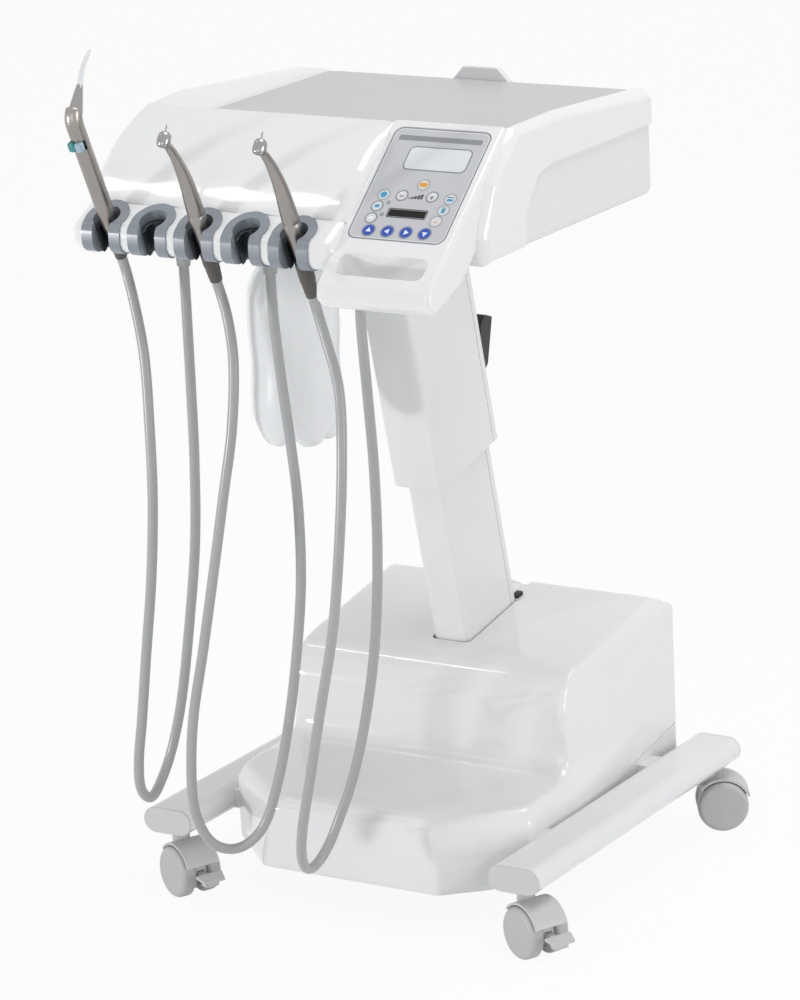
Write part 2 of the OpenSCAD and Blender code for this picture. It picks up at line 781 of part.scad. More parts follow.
module bottle_cap() {
  color("gray") placed() translate([bottle_at[0], bottle_at[1], head_floor_z - cap_h]) difference() {
    cylinder(d = cap_d, h = cap_h);
    translate([0, 0, -1]) cylinder(d = 28, h = cap_h - 3);
  }
}

module bottle() {
  r = bottle_d / 2;
  h = bottle_h;
  top = h + cap_h - 4.4;
  color("aliceblue") placed() translate([bottle_at[0], bottle_at[1], head_floor_z - cap_h - h])
    rotate_extrude() polygon(rounded([[0, 8, 0], [12, 8, 3], [16, 0, 3], [r - 12, 0, 3],
      [r - 5, 6, 6], [r, 22, 10], [r, h - 52, 24], [r - 9, h - 22, 10], [bottle_neck_r, h - 8, 1.5],
      [bottle_neck_r, top, 0], [0, top, 0]], 4));
}

// ---------------------------------------------------------------- casters

// A caster's own frame: X back along its trail, Y along its axle
module in_caster(side, end) {
  turn = end < 0 ? front_turn : (side > 0 ? rear_turn : 180 - rear_turn);
  translate([side * rail_x, end * stem_y, 0]) rotate([0, 0, turn]) children();
}

module along_axle() {
  translate([caster_trail, 0, wheel_r]) rotate([90, 0, 0]) children();
}

module caster_hood(side, end) {
  braked = end < 0;
  color("lightgray") placed() in_caster(side, end) difference() {
    union() {
      difference() {
        union() {
          // the arched cover over both wheels
          intersection() {
            along_axle() cylinder(r = hood_r, h = hood_w, center = true);
            along_axle() linear_extrude(hood_w, center = true) polygon([[0, 0],
              past * [cos(20), sin(20)], [past, past], [-past, past], past * [cos(140), sin(140)]]);
          }
          along_axle() cylinder(r = hood_core_r, h = hood_w, center = true);
          translate([0, 0, neck_foot]) cylinder(d = neck_d, h = rail_clear - move_clear - neck_foot);
        }
        for (s = [-1, 1]) along_axle() translate([0, 0, s * (wheel_gap / 2 - move_clear + past / 2)])
          cylinder(r = wheel_r + hood_gap, h = past, center = true);
      }
      along_axle() cylinder(d = axle_d, h = wheel_gap + 2 * wheel_w - 8, center = true);
    }
    translate([0, 0, neck_foot + 5]) cylinder(d = stem_d + 2 * run_clear, h = past);
    if (braked) translate([caster_trail + pedal_pin[0] - 5.5, -pedal_arm_w / 2 - move_clear, -past])
      cube([past, pedal_arm_w + 2 * move_clear, past + pedal_z + 1]);
  }
  if (braked) color("silver") placed() in_caster(side, end)
    translate([caster_trail + pedal_pin[0], 0, wheel_r + pedal_pin[1]]) rotate([90, 0, 0])
    cylinder(d = pedal_pin_d, h = wheel_gap - 2 * move_clear, center = true);
}

// One wheel: face 1 or -1 says on which side of the hood it turns
module caster_wheel(side, end, face) {
  r = wheel_r;
  w = wheel_w;
  color("silver") placed() in_caster(side, end) along_axle() mirror([0, 0, face < 0 ? 1 : 0])
    translate([0, 0, wheel_gap / 2]) difference() {
      rotate_extrude() polygon(concat([[0, 0], [r - 1.5, 0], [r, 1.5]],
        corner([r, 0], [r, w], [0, w - 0.6], 5, 5), [[0, w - 0.6]]));
      translate([0, 0, -1]) cylinder(d = axle_d + 2 * run_clear, h = w - 2.6);
    }
}

// The brake pedal: an arm on its pin, a sloped tread and a box below it
module brake_pedal(side) {
  foot = caster_trail + wheel_r + 10;
  tip = caster_trail + pedal_tip;
  pin = [caster_trail + pedal_pin[0], wheel_r + pedal_pin[1]];
  color("lightgray") placed() in_caster(side, -1) difference() {
    union() {
      translate([pin[0] - 4.5, -pedal_arm_w / 2, pin[1] - 3.5]) cube([foot + 2 - pin[0] + 4.5, pedal_arm_w, 8.3]);
      hull() {
        translate([foot, -pedal_w / 2, pedal_z]) cube([1, pedal_w, 2.4]);
        translate([tip - 1, -pedal_tip_w / 2, pedal_z - pedal_drop]) cube([1, pedal_tip_w, 2.4]);
      }
      translate([foot - 1, -7, pedal_z - 9]) cube([8, 14, 9]);
    }
    translate([pin[0], 0, pin[1]]) rotate([90, 0, 0]) cylinder(d = pedal_pin_d + 2 * run_clear, h = past, center = true);
  }
}

// ------------------------------------------------------------ instruments

// The holders that the syringe and the two handpieces hang in
syringe_slot = 0;
handpiece_slots = [2, 4];
button_z = 89;
button_w = 7;
button_h = 9;
button_travel = 1.5;
syringe_tilt = 2.8;
syringe_shift = 0.4;

module in_syringe() {
  in_holder(holder_x[syringe_slot]) translate([syringe_shift, 0, 0]) rotate([syringe_tilt, 0, 0]) children();
}

module syringe_body() {
  r = syringe_d / 2;
  color("gray") placed() in_syringe() difference() {
    union() {
      rotate_extrude() polygon(concat([[0, -18]], [[r - 3, -18]],
        rounded([[r - 1.6, -10, 0], [r, 0, 0], [r, syringe_len - 4, 0]], 1), [[r - 0.6, syringe_len], [0, syringe_len]]));
      translate([0, 0, syringe_len]) sphere(r - 0.6);
    }
    translate([-button_w - 0.7, -r - 1, button_z - button_h / 2 - 0.3])
      cube([2 * button_w + 1.4, 5 + button_travel, button_h + 0.6]);
  }
}

module syringe_button(s) {
  r = syringe_d / 2;
  color(s < 0 ? "teal" : "lightblue") placed() in_syringe()
    translate([s * (button_w / 2 + 0.2), 0, button_z]) translate([-button_w / 2, -r - 3, -button_h / 2])
    cube([button_w, 6.5, button_h]);
}

// Chrome cone and clear bent tip
module syringe_nozzle() {
  r = syringe_d / 2 - 0.6;
  color("silver") placed() in_syringe() translate([0, 0, syringe_len]) rotate([-46.4, 0, 0]) {
    difference() {
      translate([0, 0, 3]) cylinder(r1 = r - 1, r2 = 3, h = 26);
      sphere(r);
    }
    translate([0, 0, 29]) cylinder(d = 4, h = 20);
    translate([0, 0, 49]) sphere(d = 4);
    translate([0, 0, 49]) rotate([-22, 0, 0]) cylinder(d1 = 4, d2 = 2.6, h = 14);
  }
}

// Second bend of a handpiece, reach of its head past it, and the bur's lean to the rear
head_bend = 17;
head_len = 14;
bur_back = 25;

// The neck of a handpiece, from its bend
module on_neck(slot) {
  in_holder(holder_x[handpiece_slots[slot]]) translate([0, 0, grip_len]) rotate([neck_bend, 0, 0]) children();
}

module on_turbine(slot) {
  on_neck(slot) translate([0, 0, neck_len]) rotate([head_bend, 0, 0]) translate([0, 0, head_len])
    rotate([-head_bend - neck_bend - holder_lean - bur_back, 0, 0]) children();
}

module handpiece(slot) {
  r = grip_d / 2;
  color("gray") placed() difference() {
    union() {
      in_holder(holder_x[handpiece_slots[slot]]) rotate_extrude() polygon([[0, coupling_foot], [r - 1.6, coupling_foot],
        [r - 1.2, coupling_foot + 3], [r - 0.4, -6], [r, 6], [r, 16], [r - 0.5, 32], [r - 1.2, 48],
        [r - 2, grip_len], [0, grip_len]]);
      in_holder(holder_x[handpiece_slots[slot]]) translate([0, 0, grip_len]) sphere(r - 2);
      on_neck(slot) cylinder(r1 = r - 2, r2 = 4, h = neck_len);
      on_neck(slot) translate([0, 0, neck_len]) sphere(4);
      on_neck(slot) translate([0, 0, neck_len]) rotate([head_bend, 0, 0]) cylinder(r1 = 4, r2 = 3.4, h = head_len - 3);
      on_turbine(slot) translate([0, 0, -7]) rotate_extrude() polygon([[0, 0], [3.5, 0], [turbine_d / 2 - 0.6, 1.6],
        [turbine_d / 2, 3.5], [turbine_d / 2, 9], [4.6, 13], [2.6, 14.4], [0, 14.4]]);
    }
    on_turbine(slot) cylinder(d = bur_d + 2 * run_clear, h = past);
    in_holder(holder_x[handpiece_slots[slot]]) translate([0, 0, coupling_foot - 1])
      cylinder(d = 9 + 2 * run_clear, h = 15);
  }
}

module bur(slot) {
  color("silver") placed() on_turbine(slot) {
    translate([0, 0, 0.5]) cylinder(d = bur_d, h = 10);
    translate([0, 0, 10.5]) cylinder(d1 = bur_d, d2 = 0.8, h = 3);
  }
}

// Couplings and tapered strain reliefs between the instruments and hoses
module hose_reliefs() {
  color("dimgray") placed() {
    in_syringe() translate([0, 0, -36]) cylinder(d1 = hose_d + 1.6, d2 = 11.6, h = 18);
    for (slot = [0, 1]) in_holder(holder_x[handpiece_slots[slot]]) {
      translate([0, 0, -51 - 7 * slot]) cylinder(d1 = hose_d + 2.5, d2 = 15, h = 51 + 7 * slot + coupling_foot - 0.3);
      translate([0, 0, coupling_foot - 0.3]) cylinder(d = 9, h = 12);
    }
  }
}

// ------------------------------------------------------------------ hoses

// A smooth curve through the points, its k-th of n steps between two of them
function smooth_at(p, i, t) =
  let (last = len(p) - 1, a = p[max(0, i - 1)], b = p[i], c = p[i + 1], d = p[min(last, i + 2)])
  0.5 * ((2 * b) + (c - a) * t + (2 * a - 5 * b + 4 * c - d) * t * t + (3 * b - a - 3 * c + d) * t * t * t);

function hose_rings(p) = [for (i = [0 : len(p) - 2]) each [p[i]], p[len(p) - 1]];

module hose(path, first_lean = holder_lean) {
  rings = hose_rings(path);
  n = len(rings);
  points = [for (i = [0 : n - 1])
    let (t = unit_of(i == 0 ? [0, sin(first_lean), -cos(first_lean)]
           : i == n - 1 ? [0, 0, 1] : rings[i + 1] - rings[i - 1]),
         e1 = unit_of(cross(t, [0, 1, 0])), e2 = cross(t, e1))
    for (k = [0 : hose_sides - 1])
      rings[i] + hose_d / 2 * (e1 * cos(360 * k / hose_sides) + e2 * sin(360 * k / hose_sides))];
  sides = [for (i = [0 : n - 2], k = [0 : hose_sides - 1])
    let (m = (k + 1) % hose_sides)
    each [[i * hose_sides + k, i * hose_sides + m, (i + 1) * hose_sides + m],
          [i * hose_sides + k, (i + 1) * hose_sides + m, (i + 1) * hose_sides + k]]];
  ends = [[for (k = [hose_sides - 1 : -1 : 0]) k], [for (k = [0 : hose_sides - 1]) (n - 1) * hose_sides + k]];
  color("darkgray") placed() polyhedron(points, concat(sides, ends));
}

// ------------------------------------------------------------- the pieces

rail(-1);  // left_rail
rail(1);  // right_rail
rail_end_caps();
caster_stems();
cross_members();
ballast();
power_supply();
base_cover();
rear_skirt();
lower_column();
column_glides();
gas_cylinder();
caster_hood(-1, -1);  // front_left_hood
caster_hood(1, -1);  // front_right_hood
caster_hood(-1, 1);  // rear_left_hood
caster_hood(1, 1);  // rear_right_hood
caster_wheel(-1, -1, 1);  // front_left_wheel_a
caster_wheel(-1, -1, -1);  // front_left_wheel_b
caster_wheel(1, -1, 1);  // front_right_wheel_a
caster_wheel(1, -1, -1);  // front_right_wheel_b
caster_wheel(-1, 1, 1);  // rear_left_wheel_a
caster_wheel(-1, 1, -1);  // rear_left_wheel_b
caster_wheel(1, 1, 1);  // rear_right_wheel_a
caster_wheel(1, 1, -1);  // rear_right_wheel_b
brake_pedal(-1);  // left_brake_pedal
brake_pedal(1);  // right_brake_pedal
upper_sleeve();
gas_rod();
head_bracket();
lower_shell();
upper_cover();
tray_plate();
rear_handle();
control_panel();
panel_display();
panel_keys();
control_board();
holder_ring(holder_x[0]);  // holder_ring_1
holder_ring(holder_x[1]);  // holder_ring_2
holder_ring(holder_x[2]);  // holder_ring_3
holder_ring(holder_x[3]);  // holder_ring_4
holder_ring(holder_x[4]);  // holder_ring_5
holder_liners();
hose_outlets();
valve_block();
bottle_cap();
bottle();
release_lever();
syringe_body();
syringe_nozzle();
syringe_button(1);  // air_button
syringe_button(-1);  // water_button
handpiece(0);  // handpiece_1
handpiece(1);  // handpiece_2
bur(0);  // bur_1
bur(1);  // bur_2
hose_reliefs();
hose(hose_paths[0], holder_lean + syringe_tilt);  // hose_1
hose(hose_paths[1]);  // hose_2
hose(hose_paths[2]);  // hose_3
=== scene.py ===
"""Portable dental unit: the look of its pieces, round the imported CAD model."""
import math

import bmesh
import bpy
from mathutils import Matrix, Vector


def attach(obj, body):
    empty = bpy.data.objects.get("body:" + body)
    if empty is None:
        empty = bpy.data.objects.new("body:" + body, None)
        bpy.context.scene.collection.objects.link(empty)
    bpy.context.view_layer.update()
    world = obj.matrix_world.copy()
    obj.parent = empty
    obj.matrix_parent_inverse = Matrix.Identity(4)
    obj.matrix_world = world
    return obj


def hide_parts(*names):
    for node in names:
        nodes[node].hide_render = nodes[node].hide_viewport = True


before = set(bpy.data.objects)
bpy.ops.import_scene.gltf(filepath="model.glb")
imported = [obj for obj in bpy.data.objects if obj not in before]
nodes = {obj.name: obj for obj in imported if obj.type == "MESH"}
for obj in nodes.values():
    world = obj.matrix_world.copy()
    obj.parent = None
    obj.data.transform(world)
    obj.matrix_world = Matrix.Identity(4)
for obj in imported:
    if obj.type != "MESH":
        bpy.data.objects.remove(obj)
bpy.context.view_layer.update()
scene = bpy.context.scene
scene.view_settings.view_transform = "Standard"


# ---- The view ----------------------------------------------------------------
# A long lens from the unit's front right, a little above the head. The place and
# the turn come from the rails, whose ends and spread are known.
camera = bpy.data.objects.new("camera", bpy.data.cameras.new("camera"))
scene.collection.objects.link(camera)
camera.data.sensor_width = 36
camera.data.lens = 157.92  # mm, on the sensor's 36
camera.data.clip_end = 50
to_right = Vector((0.854299, 0.517729, -0.046147))
to_top = Vector((-0.104009, 0.257258, 0.960729))
backwards = Vector((0.509269, -0.815951, 0.273623))
turn = Matrix((to_right, to_top, backwards)).transposed()
camera.matrix_world = Matrix.Translation((2.08753, -3.34969, 1.50219)) @ turn.to_4x4()
scene.camera = camera


# ---- Hoses -------------------------------------------------------------------
# Three extruded silicone hoses. Each hangs in a long loop from its instrument down
# to near the base and up again to a gland under the head.
def linear(hexadecimal):
    """An sRGB hex colour as linear red, green, blue and alpha."""
    parts = [int(hexadecimal[i:i + 2], 16) / 255 for i in (0, 2, 4)]
    return [p / 12.92 if p <= 0.04045 else ((p + 0.055) / 1.055) ** 2.4 for p in parts] + [1.0]


def add(tree, kind, **settings):
    """Adds a node. A setting is one of its options, or the value or the link of an input."""
    node = tree.nodes.new(kind)
    for name, value in settings.items():
        if hasattr(node, name):
            setattr(node, name, value)
            continue
        socket = node.inputs[name.replace("_", " ")]
        if isinstance(value, bpy.types.NodeSocket):
            tree.links.new(value, socket)
        else:
            socket.default_value = value
    return node


drift_mm = 90


def surface(name, pale, dark, grain_mm, bump_mm, rough, spread=0.06, **shader):
    """A finish whose colour, roughness and height drift with a noise of that grain."""
    finish = bpy.data.materials.new(name)
    finish.use_nodes = True
    tree = finish.node_tree
    body = tree.nodes["Principled BSDF"]
    where = add(tree, "ShaderNodeTexCoord").outputs["Object"]
    grain = add(tree, "ShaderNodeTexNoise", Vector=where, Scale=1000 / grain_mm, Detail=3.0)
    drift = add(tree, "ShaderNodeTexNoise", Vector=where, Scale=1000 / drift_mm, Detail=2.0)
    tint = add(tree, "ShaderNodeMix", data_type="RGBA")
    tint.inputs[6].default_value = linear(dark)
    tint.inputs[7].default_value = linear(pale)
    tree.links.new(drift.outputs["Fac"], tint.inputs[0])
    tree.links.new(tint.outputs[2], body.inputs["Base Color"])
    sheen = add(tree, "ShaderNodeMapRange", Value=grain.outputs["Fac"], To_Min=rough - spread / 2,
                To_Max=rough + spread / 2)
    tree.links.new(sheen.outputs["Result"], body.inputs["Roughness"])
    relief = add(tree, "ShaderNodeBump", Height=grain.outputs["Fac"], Strength=1.0,
                 Distance=bump_mm / 1000)
    tree.links.new(relief.outputs["Normal"], body.inputs["Normal"])
    for setting, value in shader.items():
        body.inputs[setting.replace("_", " ")].default_value = value
    return finish


rails_x, rails_y = 7.5907, -66.5134


def placed(x, y, z):
    """A point given in mm from the middle between the rails, in the frame, in metres."""
    return Vector(((x - rails_x) / 1000, (y - rails_y) / 1000, z / 1000))


# Extruded silicone: an even, satin light grey with long soft highlights. Each route
# starts with the lean of the instrument that the hose hangs from, in degrees.
silicone = surface("silicone_hose", "ACADAE", "A5A6A7", 1.2, 0.01, 0.28, 0.06,
                   Specular_IOR_Level=0.55)
hose_routes = {
    "hose_1": (23.8, [
        (-144.7, -278.93, 646.91), (-135, -279, 610), (-122, -286, 560), (-116, -293, 500),
        (-114, -298, 430), (-119, -301, 355), (-129, -303, 280), (-138, -304, 215),
        (-145, -303, 175), (-151, -294, 145), (-155, -273, 129), (-157, -251, 140),
        (-152, -238, 168), (-141, -234, 215), (-127, -234, 290), (-115, -234, 370),
        (-110, -234, 450), (-109, -234, 520), (-108, -235, 590), (-108, -235, 632)]),
    "hose_2": (21, [
        (-46.1, -275.18, 632.24), (-37, -275, 600), (-29, -281, 560), (-29, -290, 500),
        (-38, -296, 440), (-51, -299, 370), (-68, -300, 290), (-83, -300, 225),
        (-89, -300, 170), (-88, -298, 130), (-78, -288, 100), (-62, -271, 92),
        (-44, -258, 108), (-30, -252, 145), (-15, -247, 210), (-4, -243, 280),
        (3, -240, 350), (3, -238, 420), (-3, -236, 480), (-10, -235, 540),
        (-14, -235, 590), (-15, -235, 632)]),
    "hose_3": (21, [
        (52.9, -272.67, 625.7), (63, -272, 590), (80, -280, 545), (87, -292, 485),
        (85, -300, 410), (76, -304, 330), (60, -306, 255), (43, -306, 180),
        (30, -302, 130), (21, -290, 98), (17, -270, 84), (21, -251, 95),
        (31, -240, 125), (47, -236, 170), (63, -235, 230), (76, -235, 300),
        (83, -235, 380), (84, -235, 460), (81, -235, 530), (78, -235, 590),
        (78, -235, 632)]),
}
hose_across = 0.0095
length_steps = 12
for name, (lean, route) in hose_routes.items():
    curve = bpy.data.curves.new(name + "_silicone", "CURVE")
    curve.dimensions = "3D"
    curve.bevel_depth = hose_across / 2
    curve.bevel_resolution = 6
    curve.resolution_u = 10
    line = curve.splines.new("BEZIER")
    line.bezier_points.add(len(route) - 1)
    points = [placed(*p) for p in route]
    for i, point in enumerate(line.bezier_points):
        point.co = points[i]
        before, after = points[max(i - 1, 0)], points[min(i + 1, len(points) - 1)]
        along = (after - before).normalized()
        if i == 0:
            along = Vector((0, math.sin(math.radians(lean)), -math.cos(math.radians(lean))))
        if i == len(points) - 1:
            along = Vector((0, 0, 1))
        point.handle_left = point.co - along * (point.co - before).length / 3
        point.handle_right = point.co + along * (after - point.co).length / 3
    hose = bpy.data.objects.new(name + "_silicone", curve)
    scene.collection.objects.link(hose)
    hose.data.materials.append(silicone)
    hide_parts(name)
    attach(hose, "head")
    length = 0.0
    for i in range(len(points) - 1):
        a, b = line.bezier_points[i], line.bezier_points[i + 1]
        last = a.co
        for k in range(1, length_steps + 1):
            t = k / length_steps
            here = (a.co * (1 - t) ** 3 + a.handle_right * 3 * t * (1 - t) ** 2
                    + b.handle_left * 3 * t * t * (1 - t) + b.co * t ** 3)
            length += (here - last).length
            last = here.copy()


# ---- Moulded covers ----------------------------------------------------------
# White ABS mouldings: the head's glossy upper cover and satin lower shell, the
# base's rear skirt, and the handle at the rear.
def finished(name, node, body, finish, width=0.0, angle=32, weighted=True):
    """A piece with a CAD node's shape, its doubles merged, its curves smooth and its edges eased."""
    mesh = nodes[node].data.copy()
    mesh.name = name
    piece = bpy.data.objects.new(name, mesh)
    scene.collection.objects.link(piece)
    shape = bmesh.new()
    shape.from_mesh(mesh)
    bmesh.ops.remove_doubles(shape, verts=shape.verts, dist=1e-6)
    bmesh.ops.dissolve_limit(shape, angle_limit=math.radians(0.6), verts=shape.verts, edges=shape.edges)
    for face in shape.faces:
        face.smooth = True
    for edge in shape.edges:
        edge.smooth = len(edge.link_faces) == 2 and edge.calc_face_angle(0) < math.radians(angle)
    shape.to_mesh(mesh)
    shape.free()
    mesh.materials.clear()
    mesh.materials.append(finish)
    if width:
        ease = piece.modifiers.new("eased_edges", "BEVEL")
        ease.width = width / 1000
        ease.segments = 2
        ease.limit_method = "ANGLE"
        ease.angle_limit = math.radians(angle)
        ease.harden_normals = True
    if weighted:
        flat = piece.modifiers.new("flat_faces", "WEIGHTED_NORMAL")
        flat.keep_sharp = True
    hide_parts(node)
    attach(piece, body)
    return piece


# Injection-moulded ABS. Polished, it is nearly white with sharp, faintly wavy
# reflections; from an untreated mould its shine is softer.
abs_white = surface("polished_white_abs", "EDEEEF", "E9EAEB", 40, 0.02, 0.09, 0.03,
                    Specular_IOR_Level=0.5, Coat_Weight=0.7, Coat_Roughness=0.02)
abs_shell = surface("satin_white_abs", "E8E9EA", "E4E5E6", 3, 0.004, 0.26, 0.05,
                    Specular_IOR_Level=0.5)
finished("head_cover", "upper_cover", "head", abs_white, 1.5, 42)
finished("head_lower_shell", "lower_shell", "head", abs_shell)
finished("base_rear_skirt", "rear_skirt", "chassis", abs_shell, 0.8)
finished("rear_grip", "rear_handle", "head", abs_white, 1.0)


# ---- Base casing -------------------------------------------------------------
# One glossy moulding over the frame: a low step in front runs up in a hollow curve
# into the tall box behind it, and the column comes out of a slot in its roof.
def drawn_tight(shape, points):
    """Adds a skin drawn tight over points given in mm."""
    spots = [shape.verts.new(placed(*point)) for point in points]
    skin = bmesh.ops.convex_hull(shape, input=spots)
    idle = {v for v in skin["geom_interior"] + skin["geom_unused"] if isinstance(v, bmesh.types.BMVert)}
    bmesh.ops.delete(shape, geom=list(idle), context="VERTS")


def settled(piece):
    """Turns what a piece's modifiers show into its own mesh."""
    bpy.context.view_layer.update()
    shown = bpy.data.meshes.new_from_object(piece.evaluated_get(bpy.context.evaluated_depsgraph_get()))
    piece.modifiers.clear()
    piece.data = shown


def made(name, shape, finish=None, body=None, stands_for=(), angle=40):
    """A piece from a mesh under construction, smooth but for edges sharper than the angle."""
    piece = bpy.data.objects.new(name, bpy.data.meshes.new(name))
    for face in shape.faces:
        face.smooth = True
    for edge in shape.edges:
        edge.smooth = len(edge.link_faces) != 2 or edge.calc_face_angle(0) < math.radians(angle)
    shape.to_mesh(piece.data)
    shape.free()
    scene.collection.objects.link(piece)
    if body:
        piece.data.materials.append(finish)
        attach(piece, body)
        for node in stands_for:
            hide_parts(node)
    return piece


# Each level of the step: height, rise of its top to the rear, reach to the front, half
# the width in front and at the side, and where the slanted corner ends. Each level of
# the box: height, front and half the width.
step_levels = [(36, 0, 181, 96, 163, -118), (98, 0, 175, 86, 163, -118), (106, 4.5, 168, 78, 156, -112)]
box_levels = [(86, -33, 155), (178, -28, 150), (195, -21, 149.5), (206, -11, 149), (213, 6, 148)]
casing = bmesh.new()
step_points = []
for height, rise, front, half, side, corner in step_levels:
    for x, y in ((half, -front), (side, corner), (side, -20), (150, 60), (150, 184)):
        up = height + (y + 181) * math.sin(math.radians(rise))
        step_points += [(x, y, up), (-x, y, up)]
drawn_tight(casing, step_points)
drawn_tight(casing, [(s * x, y, z) for z, y, x in box_levels for s in (-1, 1)]
            + [(s * 148, 154, 238) for s in (-1, 1)]
            + [(s * 155, 188, z) for s in (-1, 1) for z in (86, 222)])
base_casing = made("base_casing", casing)
voxel, wall_thickness, casing_foot = 0.0034, 0.003, 0.0375
skin = base_casing.modifiers.new("one_skin", "REMESH")
skin.mode = "VOXEL"
skin.voxel_size = voxel
soften = base_casing.modifiers.new("mould_radii", "SMOOTH")
soften.factor = 0.5
soften.iterations = 5
settled(base_casing)

# The hollow curve between step and box, and the open underside. Then come the wall,
# the slanted rear edge and the column's slot.
shell = bmesh.new()
shell.from_mesh(base_casing.data)
low, high = placed(0, -75, 96), placed(0, -20, 150)
hollow_rounds = 40
hollow = [v for v in shell.verts if low.y < v.co.y < high.y and low.z < v.co.z < high.z]
for _ in range(hollow_rounds):
    bmesh.ops.smooth_vert(shell, verts=hollow, factor=0.5, use_axis_y=True, use_axis_z=True)
bmesh.ops.bisect_plane(shell, geom=shell.verts[:] + shell.edges[:] + shell.faces[:], dist=1e-6,
                       plane_co=(0, 0, casing_foot), plane_no=(0, 0, -1), clear_outer=True)
shell.to_mesh(base_casing.data)
shell.free()
wall = base_casing.modifiers.new("wall", "SOLIDIFY")
wall.thickness = wall_thickness
wall.offset = -1
wall.use_even_offset = True
settled(base_casing)
entry = bmesh.new()
bmesh.ops.create_cube(entry, size=1, matrix=Matrix.Translation(placed(0, 67, 224))
                      @ Matrix.Rotation(math.radians(12.7), 4, "X") @ Matrix.Translation((0, 0, 0.03))
                      @ Matrix.Diagonal((0.043, 0.0986, 0.14, 1)))
uprights = [e for e in entry.edges if abs((e.verts[0].co - e.verts[1].co).z) > 0.1]
bmesh.ops.bevel(entry, geom=uprights, offset=0.006, segments=4, profile=0.5, affect="EDGES", material=-1)
notch = bmesh.new()
bmesh.ops.create_cube(notch, size=1, matrix=Matrix.Translation(placed(0, 167, 214))
                      @ Matrix.Diagonal((0.030, 0.2, 0.06, 1)))
rear_edge = bmesh.new()
flank = rear_edge.faces.new([rear_edge.verts.new(placed(-300, y, z))
                             for y, z in ((-21, 67.5), (-21, -100), (400, -100), (400, 138.7))])
pushed = bmesh.ops.extrude_face_region(rear_edge, geom=[flank], use_keep_orig=True)["geom"]
bmesh.ops.translate(rear_edge, verts=[v for v in pushed if isinstance(v, bmesh.types.BMVert)],
                    vec=(0.6, 0, 0))
bmesh.ops.recalc_face_normals(rear_edge, faces=rear_edge.faces)
for opening, form in (("column_entry", entry), ("rear_notch", notch), ("slanted_edge", rear_edge)):
    cutter = made(opening, form)
    cut = base_casing.modifiers.new(opening, "BOOLEAN")
    cut.object = cutter
    cut.operation = "DIFFERENCE"
    cut.solver = "EXACT"
    settled(base_casing)
    bpy.data.objects.remove(cutter)
for face in base_casing.data.polygons:
    face.use_smooth = True
base_casing.data.set_sharp_from_angle(angle=math.radians(38))
base_casing.data.materials.clear()
base_casing.data.materials.append(abs_white)
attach(base_casing, "chassis")
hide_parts("base_cover")

# Rubber gives the eye a dull near black with no clear reflection.
# White plates close the slot behind the column, a little below the roof, with a
# small black latch at its side.
slot_rubber = surface("black_rubber_lip", "232426", "1A1B1C", 1.5, 0.03, 0.6)
lip = bmesh.new()
for y, z, pitch, length in ((135, 229.5, 9.6, 40), (170, 224.5, -25.2, 36), (182.6, 198, 90, 30)):
    bmesh.ops.create_cube(lip, size=1, matrix=Matrix.Translation(placed(0, y, z))
                          @ Matrix.Rotation(math.radians(pitch), 4, "X")
                          @ Matrix.Diagonal((0.036, length / 1000, 0.002, 1)))
bmesh.ops.bevel(lip, geom=lip.edges[:], offset=0.0005, segments=2, profile=0.5, affect="EDGES",
                material=-1)
made("slot_lip", lip, abs_white, "chassis")
latch = bmesh.new()
bmesh.ops.create_cube(latch, size=1, matrix=Matrix.Translation(placed(17.5, 121, 233.5))
                      @ Matrix.Rotation(math.radians(9.7), 4, "X")
                      @ Matrix.Diagonal((0.007, 0.011, 0.005, 1)))
bmesh.ops.bevel(latch, geom=latch.edges[:], offset=0.001, segments=2, profile=0.5, affect="EDGES",
                material=-1)
made("slot_latch", latch, slot_rubber, "chassis")


# ---- Rails and their caps ----------------------------------------------------
# Two flat-oval steel tubes, powder coated white, with flat grey plastic caps. The
# coat gives soft, slightly broken reflections.
powder_white = surface("white_powder_coat", "EBECED", "E6E7E8", 0.9, 0.006, 0.22, 0.06,
                       Specular_IOR_Level=0.5, Coat_Weight=0.3, Coat_Roughness=0.06)
cap_plastic = surface("grey_cap_polypropylene", "D0D1D3", "C9CACC", 0.7, 0.02, 0.45)
for side in ("left", "right"):
    finished(side + "_tube", side + "_rail", "chassis", powder_white, 0, 40)
finished("tube_caps", "rail_end_caps", "chassis", cap_plastic, 0.5, 40)


# ---- Column ------------------------------------------------------------------
# An inner and an outer aluminium profile, both powder coated, with dark gas
# spring and glide pads between them.
finished("inner_column", "lower_column", "chassis", powder_white, 0, 30)
finished("outer_column", "upper_sleeve", "head", powder_white, 0, 30)
# Paint is dull, acetal waxy, and ground or turned steel bright with soft streaks of
# light. Real grinding marks are finer: here they are drawn coarse enough to show.
black_paint = surface("black_powder_coat", "1C1C1E", "161618", 0.9, 0.02, 0.4)
pad_plastic = surface("acetal_pad", "D8D8D4", "D0D0CC", 2, 0.01, 0.4)
ground_steel = surface("ground_steel_rod", "C8C9CB", "BEBFC2", 0.6, 0.004, 0.18, 0.05, Metallic=1.0)
bright_steel = surface("turned_steel", "B9BABD", "AEAFB2", 0.5, 0.004, 0.24, 0.06, Metallic=1.0)


def paint(node, finish):
    """Gives a CAD node's own mesh that finish."""
    nodes[node].data.materials.clear()
    nodes[node].data.materials.append(finish)


paint("gas_cylinder", black_paint)
paint("gas_rod", ground_steel)
paint("column_glides", pad_plastic)
paint("cross_members", powder_white)
paint("head_bracket", black_paint)
paint("caster_stems", bright_steel)


# ---- Release lever -----------------------------------------------------------
# Black glass-filled nylon lever behind the column. A squeeze on it frees the gas
# spring. Its moulded skin is dull.
black_nylon = surface("black_glass_filled_nylon", "141414", "0C0C0C", 0.8, 0.03, 0.38)
finished("release_grip", "release_lever", "lever", black_nylon, 1.2, 35)


